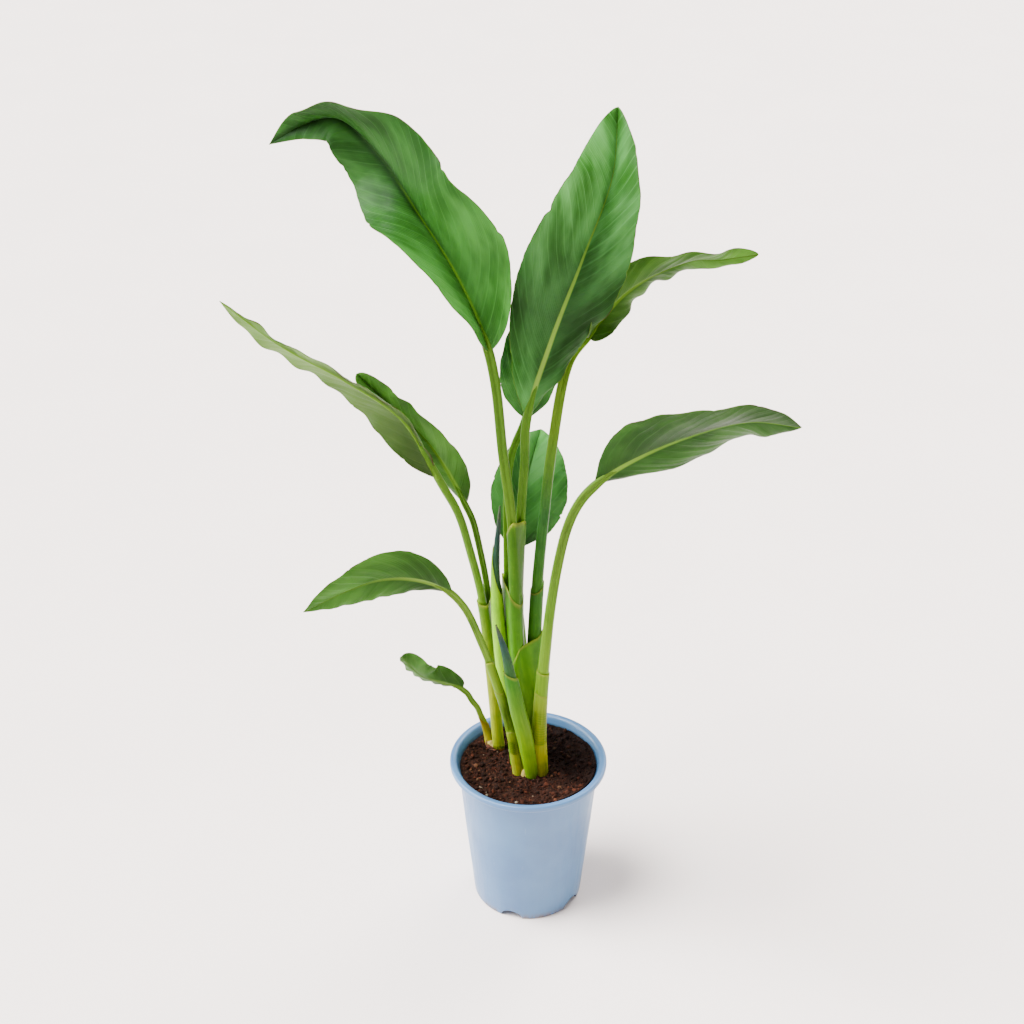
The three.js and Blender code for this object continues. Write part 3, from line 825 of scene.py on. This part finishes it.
def make_spear(name, stem):
    """A young leaf still rolled up: its loose edge winds slowly round it."""
    parts = Parts("along", "turn", "share", "lip")
    place = np.linspace(0, stem.spine.length, 130)
    share = place / stem.spine.length
    point, _, right, front = stem.spine.at(place)
    seam = (circle(AROUND)[0][None] - 0.55 - 0.5 * share[:, None]) % 1
    radius = spear_radius(stem.leaf, share)[:, None] * (0.95 + 0.14 * seam ** 1.5)
    add_tube(parts, point, right, front, radius, place, share)
    materials = [stalk_material(f"{name}_skin", [
        (0.0, (90, 140, 4)), (0.5, (48, 92, 10)), (0.72, (34, 68, 28)),
        (0.9, (24, 48, 44)), (1.0, (56, 66, 44))])]
    add_sheaths(parts, name, materials)
    return parts.build(f"{name}_rolled_leaf", materials)


# ---------- Crowns ----------

def make_crown(name, node, middle, radii, top, scales, material, seed):
    """The foot of the stalks: a ribbed cone around them and dry scales standing up from it."""
    rng = np.random.default_rng(seed)
    parts = Parts("tint", "turn")
    rows, columns = 30, 72
    share = np.linspace(0, 1, rows)
    turns, cos, sin = circle(columns)
    height = -8 * MM + (top + 8 * MM) * share
    shrink = 1 - 0.25 * share ** 1.5 - 0.75 * rise(0.93, 1.0, share)
    ribs = 1 + 0.05 * wobble(rng, turns, 9)[None] + 0.02 * wobble(rng, turns, 24)[None]
    radius = np.maximum(shrink, 0.02)[:, None] * ribs
    crest = 1 + 0.25 * wobble(rng, turns, 5)[None] * share[:, None] ** 3
    centre = CROWN_PLACES[node] + np.array([*middle, 0.0])
    points = np.stack([centre[0] + radii[0] * radius * cos, centre[1] + radii[1] * radius * sin,
                       centre[2] + height[:, None] * crest], -1)
    parts.add(points, tube_faces(rows, columns), 0, tint=0.25 * np.tile(wobble(rng, turns, 4), rows),
              turn=np.tile(np.abs(turns - 0.5) * 2, rows))
    for _ in range(scales):
        add_scale(parts, rng, centre, radii, top)
    return parts.build(name, [material])


def add_scale(parts, rng, centre, radii, top):
    """One dry, pointed scale that leans out from the crown."""
    rows, columns = 9, 7
    turn = rng.uniform()
    length = top * rng.uniform(0.9, 2.0)
    width = radii[1] * rng.uniform(0.35, 0.6)
    lean = rng.uniform(0.0, 0.35)
    share = np.linspace(0, 1, rows)[:, None]
    side = np.linspace(-1, 1, columns)[None]
    spread = width * np.sqrt(1 - share ** 2 * 0.97) / radii[0]
    angle = TURN * turn + side * spread * 0.9 + 0.25 * share
    reach = 0.86 + lean * share ** 2 + 0.1 * np.sin(9 * share + turn * 7) * share
    up = -1.5 * MM + length * share * (1 - 0.08 * side ** 2) + 0 * side

    def face(extra):
        grow = reach + extra / radii[0] + 0 * side
        return np.stack([centre[0] + radii[0] * grow * np.cos(angle),
                         centre[1] + radii[1] * grow * np.sin(angle), centre[2] + up], -1)

    outer, inner = face(0.35 * MM), face(0.0)
    drift = np.broadcast_to(side * 0.2 + turn, (rows, columns)).ravel()
    parts.add([outer, inner], np.vstack(plate_faces(rows, columns)).tolist(),
              tint=rng.uniform(0.6, 1.0), turn=np.tile(drift, 2))


# ---------- Soil ----------

def wall_radius(height):
    """Outer radius of the pot's straight wall at a height."""
    return BASE_RADIUS + (NECK_RADIUS - BASE_RADIUS) * height / (POT_HEIGHT - LIP_DEPTH)


SOIL_RADIUS = wall_radius(SOIL_LEVEL) - WALL + 0.2 * MM


def soil_height(x, y):
    """The uneven surface of the soil, highest in the middle and at the back right."""
    away = math.hypot(x, y) / SOIL_RADIUS
    place = Vector((x, y, 0.0))
    lumps = 1.5 * noise.noise(place * 55) + 0.9 * noise.noise(place * 150)
    lumps += 0.6 * noise.noise(place * 380) + 0.35 * noise.noise(place * 900)
    bank = 4.2 * away ** 4 * (1 + 0.3 * (x - 1.2 * y) / SOIL_RADIUS)
    heap = 2.0 * math.exp(-((x - 4 * MM) ** 2 + (y + 3 * MM) ** 2) / (17 * MM) ** 2)
    return SOIL_LEVEL + (-0.6 + lumps + bank + heap) * MM


def make_soil(material):
    """The soil's surface and, below it, the sides and bottom that the pot hides."""
    columns, clear = 300, 0.3 * MM
    radii = SOIL_RADIUS * np.linspace(0.004, 1, 150)
    top = rings(radii[:, None], 0.0, columns)
    top[..., 2] = [[soil_height(x, y) for x, y, _ in row] for row in top]
    height = np.array([[SOIL_LEVEL - 12 * MM], [45 * MM], [12 * MM]])
    sides = rings(wall_radius(height) - WALL - clear, height, columns)
    bottom = rings(np.array([[34 * MM]]), 7.5 * MM, columns)
    points = np.vstack([top, sides, bottom])
    parts = Parts("tint")
    parts.add(points, [face[::-1] for face in tube_faces(len(points), columns)])
    return parts.build("soil_bed", [material])


def on_soil(rng, margin=1 * MM):
    """A random place on the soil that is clear of the crowns."""
    while True:
        radius = (SOIL_RADIUS - margin) * math.sqrt(rng.uniform())
        turn = rng.uniform(0, TURN)
        x, y = radius * math.cos(turn), radius * math.sin(turn)
        if math.hypot((x - 4 * MM) / 1.2, y - 1 * MM) > 9 * MM:
            return x, y


def unit_lump():
    """A sphere of 42 points, to be made into crumbs."""
    ball = bmesh.new()
    bmesh.ops.create_icosphere(ball, subdivisions=2, radius=1.0)
    points = np.array([vertex.co[:] for vertex in ball.verts])
    faces = [[vertex.index for vertex in face.verts] for face in ball.faces]
    ball.free()
    return points, faces


def make_crumbs(material, count=1500):
    rng = np.random.default_rng(12)
    points, faces = unit_lump()
    parts = Parts("tint")
    for _ in range(count):
        x, y = on_soil(rng, 1.6 * MM)
        size = MM * (0.45 + 1.5 * rng.uniform() ** 3)
        lumpy = points * (1 + 0.3 * np.sin(points @ rng.normal(0, 3, (3, 1)) + rng.uniform(0, 6)))
        shape = lumpy * rng.uniform(0.55, 1.2, 3)
        turned = shape @ np.linalg.qr(rng.normal(size=(3, 3)))[0]
        middle = np.array([x, y, soil_height(x, y) + 0.25 * size])
        parts.add(turned * size + middle, faces, tint=rng.uniform() ** 1.3)
    return parts.build("soil_crumbs", [material])


def make_fibres(material, count=420):
    """Coir fibres and root ends lying in the surface."""
    rng = np.random.default_rng(31)
    parts = Parts("tint")
    rows, columns = 9, 5
    _, cos, sin = circle(columns)
    for _ in range(count):
        x, y = on_soil(rng, 5 * MM)
        heading, length = rng.uniform(0, TURN), MM * rng.uniform(3, 11)
        bend, thick = rng.normal(0, 1.2), MM * rng.uniform(0.12, 0.32)
        share = np.linspace(-0.5, 0.5, rows)
        angle = heading + bend * share
        path_x = x + np.cumsum(np.cos(angle)) * length / rows
        path_y = y + np.cumsum(np.sin(angle)) * length / rows
        inside = np.hypot(path_x, path_y) < SOIL_RADIUS - 0.5 * MM
        if not inside.all():
            continue
        arch = rng.uniform(0.0, 1.2) * MM * np.cos(math.pi * share) ** 2
        path_z = np.array([soil_height(a, b) for a, b in zip(path_x, path_y)]) + 0.3 * MM + arch
        middle = np.stack([path_x, path_y, path_z], -1)
        side = np.stack([-np.sin(angle), np.cos(angle), np.zeros(rows)], -1)
        radius = thick * (1 - 0.6 * np.abs(2 * share))[:, None, None]
        ring = middle[:, None] + radius * (side[:, None] * cos[:, None] + UP * sin[:, None])
        parts.add(ring, tube_faces(rows, columns), tint=rng.uniform(0.45, 0.97))
    return parts.build("soil_fibres", [material])


# ---------- Pot ----------

def rounded(corners, steps=6):
    """A line through corners given as (radius, height, fillet), with an arc at each fillet."""
    points = [np.array(corners[0][:2])]
    for (ax, ay, _), (bx, by, fillet), (cx, cy, _) in zip(corners, corners[1:], corners[2:]):
        here = np.array([bx, by])
        back, ahead = np.array([ax, ay]) - here, np.array([cx, cy]) - here
        reach = min(fillet, 0.45 * np.linalg.norm(back), 0.45 * np.linalg.norm(ahead))
        start, end = here + unit(back) * reach, here + unit(ahead) * reach
        for share in np.linspace(0, 1, steps) if fillet else [0.5]:
            points.append((1 - share) ** 2 * start + 2 * share * (1 - share) * here + share ** 2 * end)
    points.append(np.array(corners[-1][:2]))
    return np.array(points)


def make_pot(material):
    lip_under = POT_HEIGHT - LIP_DEPTH
    floor, lift, pad = 1.8 * MM, 4 * MM, 28 * MM
    corners = [
        (0, 0, 0),
        (pad, 0, 1.2),
        (pad + 2 * MM, lift, 1.2),
        (BASE_RADIUS - 3.5 * MM, lift, 0.6),
        (BASE_RADIUS - 3 * MM, 0, 0.8),
        (BASE_RADIUS, 0, 2.4),
        (wall_radius(0.030), 0.030, 0),
        (wall_radius(0.070), 0.070, 0),
        (wall_radius(lip_under - 3 * MM), lip_under - 3 * MM, 0.4),
        (wall_radius(lip_under) + 0.4 * MM, lip_under - 2.5 * MM, 0.4),
        (wall_radius(lip_under) + 0.5 * MM, lip_under + 0.6 * MM, 1.0),
        (RIM_RADIUS - 0.2 * MM, lip_under, 1.8),
        (RIM_RADIUS, POT_HEIGHT, 2.4),
        (NECK_RADIUS + 1.4 * MM, POT_HEIGHT - 0.3 * MM, 2.2),
        (wall_radius(lip_under - 3 * MM) - WALL, lip_under - 3 * MM, 2.0),
        (wall_radius(0.060) - WALL, 0.060, 0),
        (wall_radius(0.010) - WALL, 0.010, 2.0),
        (BASE_RADIUS - WALL - 3.4 * MM, lift + floor, 1.2),
        (pad + 1.2 * MM, lift + floor, 1.0),
        (pad - 0.8 * MM, floor, 1.0),
        (0, floor, 0),
    ]
    corners = [(radius, height, fillet * MM) for radius, height, fillet in corners]
    profile = rounded(corners)[1:-1]
    columns = 240
    turns = circle(columns)[0]
    bulge = 0.35 * MM * np.sin(TURN * (2 * turns + 0.1)) + 0.2 * MM * np.sin(TURN * (3 * turns + 0.4))
    soft = rise(0.02, 0.06, profile[:, 1]) * (1 - rise(0.1, 0.118, profile[:, 1]))
    radius = profile[:, :1] + soft[:, None] * bulge[None] * (profile[:, :1] > 0.03)
    parts = Parts()
    parts.add(rings(radius, profile[:, 1:], columns), tube_faces(len(profile), columns))
    pot = parts.build("nursery_pot", [material])
    for bearing in NOTCH_BEARINGS:
        cut_notch(pot, math.radians(bearing))
    weld(pot.data)
    pot.data.set_sharp_from_angle(angle=math.radians(38))
    return pot


def cut_notch(pot, bearing):
    """An arched drainage notch through the foot of the wall."""
    columns = 48
    _, cos, sin = circle(columns)
    out = np.array([math.cos(bearing), math.sin(bearing), 0])
    aside = np.array([-math.sin(bearing), math.cos(bearing), 0])
    arch = NOTCH_HALF_WIDTH * cos[:, None] * aside + NOTCH_HEIGHT * sin[:, None] * UP
    parts = Parts()
    parts.add([radius * out + arch for radius in (BASE_RADIUS - 4 * MM, BASE_RADIUS + 5 * MM)],
              tube_faces(2, columns))
    cutter = parts.build("notch_cutter", [])
    cut = pot.modifiers.new("notch", "BOOLEAN")
    cut.operation, cut.solver, cut.object = "DIFFERENCE", "EXACT", cutter
    bpy.context.view_layer.update()
    shape = bpy.data.meshes.new_from_object(pot.evaluated_get(bpy.context.evaluated_depsgraph_get()))
    pot.modifiers.clear()
    pot.data = shape
    bpy.data.objects.remove(cutter)


def weld(mesh):
    shape = bmesh.new()
    shape.from_mesh(mesh)
    bmesh.ops.remove_doubles(shape, verts=shape.verts, dist=0.004 * MM)
    bmesh.ops.dissolve_degenerate(shape, edges=shape.edges, dist=0.004 * MM)
    shape.to_mesh(mesh)
    shape.free()


# ---------- Making the plant ----------

# The shades of each leaf: its upper side deep and light, its midrib at the foot and at the tip,
# and its stalk low, high and under the blade.
SHADES = {
    # The dark midrib tip of tall_left is painted shade in its groove.
    "tall_left": ((26, 67, 16), (54, 108, 42), (66, 108, 13), (14, 42, 5),
                  (40, 78, 8), (61, 91, 11), (52, 85, 11)),
    "tall_centre": ((26, 68, 14), (66, 120, 58), (106, 138, 49), (83, 119, 35),
                    (71, 113, 5), (58, 99, 5), (56, 91, 15)),
    "upper_right": ((37, 71, 11), (64, 106, 30), (76, 110, 22), (55, 85, 18),
                    (40, 84, 5), (36, 80, 30), (70, 102, 14)),
    "mid_right": ((28, 66, 11), (52, 96, 30), (89, 122, 35), (71, 106, 31),
                  (79, 113, 15), (66, 101, 14), (60, 89, 18)),
    "mid_left": ((40, 80, 24), (60, 103, 40), (76, 112, 22), (66, 101, 29),
                 (93, 122, 19), (68, 105, 13), (61, 96, 15)),
    "mid_left_back": ((40, 79, 19), (63, 106, 36), (68, 101, 18), (43, 78, 15),
                      (78, 112, 13), (56, 92, 9), (52, 84, 11)),
    "low_left": ((32, 67, 11), (54, 96, 30), (89, 120, 39), (66, 99, 29),
                 (89, 119, 25), (78, 110, 25), (70, 101, 22)),
    "small_left": ((41, 75, 19), (64, 103, 43), (73, 105, 33), (52, 84, 25),
                   (106, 120, 37), (83, 110, 29), (66, 96, 22)),
    "back": ((24, 64, 19), (52, 102, 42), (60, 98, 25), (30, 68, 15),
             (66, 112, 5), (47, 85, 6), (37, 71, 9)),
    "centre_back": ((21, 64, 19), (63, 119, 49), (71, 112, 29), (47, 85, 25),
                    (66, 112, 5), (66, 108, 5), (52, 89, 10)),
}
# The brightness of the upper side at even steps from the foot of the blade to its tip: part the leaf's
# own tone, part painted light and shade.
LIGHT_AND_TONES = {
    "tall_left": (1.8, 1.8, 1.4, 0.8, 0.6, 0.6, 1.1),
    "tall_centre": (2.0, 1.0, 0.4, 0.7, 1.3, 1.7, 1.8),
    "upper_right": (0.9, 0.8, 1.0, 1.3, 1.4),
    "mid_right": (0.8, 1.0, 0.9, 0.75, 0.8),
    "low_left": (0.8, 0.8, 1.2, 1.2),
    "back": (0.7, 1.1, 1.2, 1.5),
}
# How bright its left and right halves are, which is painted light and shade, and how dark the painted
# shade in the groove along its midrib is.
SIDE_LIGHT = {"tall_left": (0.85, 0.9), "tall_centre": (1.1, 0.7), "mid_right": (0.62, 0.85),
         "low_left": (1.0, 1.15)}
GROOVE_SHADE = {"tall_left": 0.8}
PLAIN_TONE = (1, 1)
UNDER_TONES = {"mid_left": (0.55, 0.6, 0.9, 1.2, 1.4)}
UNDER_SHADES = {"mid_left": ((66, 96, 39), (86, 115, 59))}
STALK_FOOT = (148, 138, 40)


def make_leaves():
    for index, (name, leaf) in enumerate(LEAVES.items()):
        stem = STEMS[name]
        deep, light, rib_foot, rib_tip, low, high, neck = SHADES[name]
        under_deep, under_light = UNDER_SHADES.get(name, ((62, 96, 40), (84, 116, 62)))
        upper = leaf_material(f"{name}_upper", deep, light, rib_foot, rib_tip,
                              LIGHT_AND_TONES.get(name, PLAIN_TONE), SIDE_LIGHT.get(name, PLAIN_TONE),
                              GROOVE_SHADE.get(name, 0.0), 0.4, float(index))
        under = leaf_material(f"{name}_under", under_deep, under_light,
                              rib_foot, rib_foot, UNDER_TONES.get(name, PLAIN_TONE), PLAIN_TONE,
                              0.0, 0.46, index + 0.5)
        stops = [(0.0, STALK_FOOT), (0.08, STALK_FOOT), (0.22, low), (0.4, low),
                 (0.62, high), (0.8, neck), (1.0, neck)]
        blade = make_blade(name, leaf, stem.spine, stem.joint, [upper, under])
        show(blade, f"{name}_blade")
        show(make_stalk(name, stem, stops), f"{name}_stalk")


def make_rolled_leaves():
    for name in SPEARS:
        show(make_spear(name, STEMS[name]), name)


def make_plant_foot():
    flesh = crown_material()
    show(make_crown("crown_foot", "crown_main", (2 * MM, -2.5 * MM), (14.5 * MM, 13.5 * MM), 6.5 * MM, 4,
                    flesh, 5), "crown_main")
    show(make_crown("offset_foot", "crown_offset", (0, 0), (8.5 * MM, 7.5 * MM), 4 * MM, 12,
                    flesh, 9), "crown_offset")


# ---------- Stage ----------

SKY_COLOUR, SKY_STRENGTH = (1.0, 0.99, 0.98, 1), 0.4
# Each softbox: the direction it lies in, its breadth in degrees and its strength.
SOFTBOXES = {
    "overhead": ((-0.45, -0.08, 1.0), 34, 10.5),
    "from_left": ((-1.0, 0.05, 0.26), 55, 14.0),
    "from_behind": ((0.55, 0.8, 1.0), 30, 3.0),
}
CAMERA_PLACE = (-0.0124, -1.015, 0.927)
CAMERA_LOOKS_DOWN = 29.95
FIELD_OF_VIEW = 34


def make_stage():
    make_sweep(floor_material())
    world = bpy.data.worlds.new("studio")
    world.use_nodes = True
    sky = world.node_tree.nodes["Background"].inputs
    sky["Color"].default_value, sky["Strength"].default_value = SKY_COLOUR, SKY_STRENGTH
    bpy.context.scene.world = world
    for name, softbox in SOFTBOXES.items():
        add_light(name, *softbox)


def make_sweep(material):
    """A pale floor that curves up into a low wall all round."""
    columns = 96
    bend = np.linspace(0, 1, 14) * math.pi / 2
    radius = np.concatenate([[0.02, 1.0, 3.0], 6.5 + 1.5 * np.sin(bend)])
    height = np.concatenate([[0, 0, 0], 1.5 * (1 - np.cos(bend))])
    points = rings(radius[:, None], height[:, None], columns)
    sheet = np.vstack([points, points[::-1] - 5 * MM * UP])
    parts = Parts()
    parts.add(sheet, tube_faces(len(sheet), columns))
    return parts.build("floor", [material])


def floor_material():
    shade = Shade("floor_matte")
    mottle = shade.noise(shade.place(), 6.0, 2.0)
    shade.body = shade.ramp(mottle, (0.3, (238, 226, 220)), (0.7, (241, 229, 223)))
    return shade.finish(Roughness=0.85)


def add_light(name, place, spread, strength):
    """A broad, distant softbox in the direction of place, as wide as spread in degrees."""
    lamp = bpy.data.lights.new(name, "SUN")
    lamp.angle = math.radians(spread)
    lamp.energy = strength
    obj = bpy.data.objects.new(name, lamp)
    obj.rotation_euler = Vector(place).to_track_quat("Z", "Y").to_euler()
    bpy.context.scene.collection.objects.link(obj)


def make_camera():
    lens = bpy.data.cameras.new("camera")
    lens.sensor_fit = "HORIZONTAL"
    lens.angle = math.radians(FIELD_OF_VIEW)
    camera = bpy.data.objects.new("camera", lens)
    camera.location = CAMERA_PLACE
    camera.rotation_euler = (math.radians(90 - CAMERA_LOOKS_DOWN), 0, 0)
    bpy.context.scene.collection.objects.link(camera)
    bpy.context.scene.camera = camera


make_camera()
make_stage()
show(make_pot(pot_material()), "pot")
show(make_soil(soil_material("soil_surface", False)), "soil")
crumb_material = soil_material("soil_crumb", True)
show(make_crumbs(crumb_material), None)
show(make_fibres(crumb_material), None)
make_plant_foot()
make_leaves()
make_rolled_leaves()
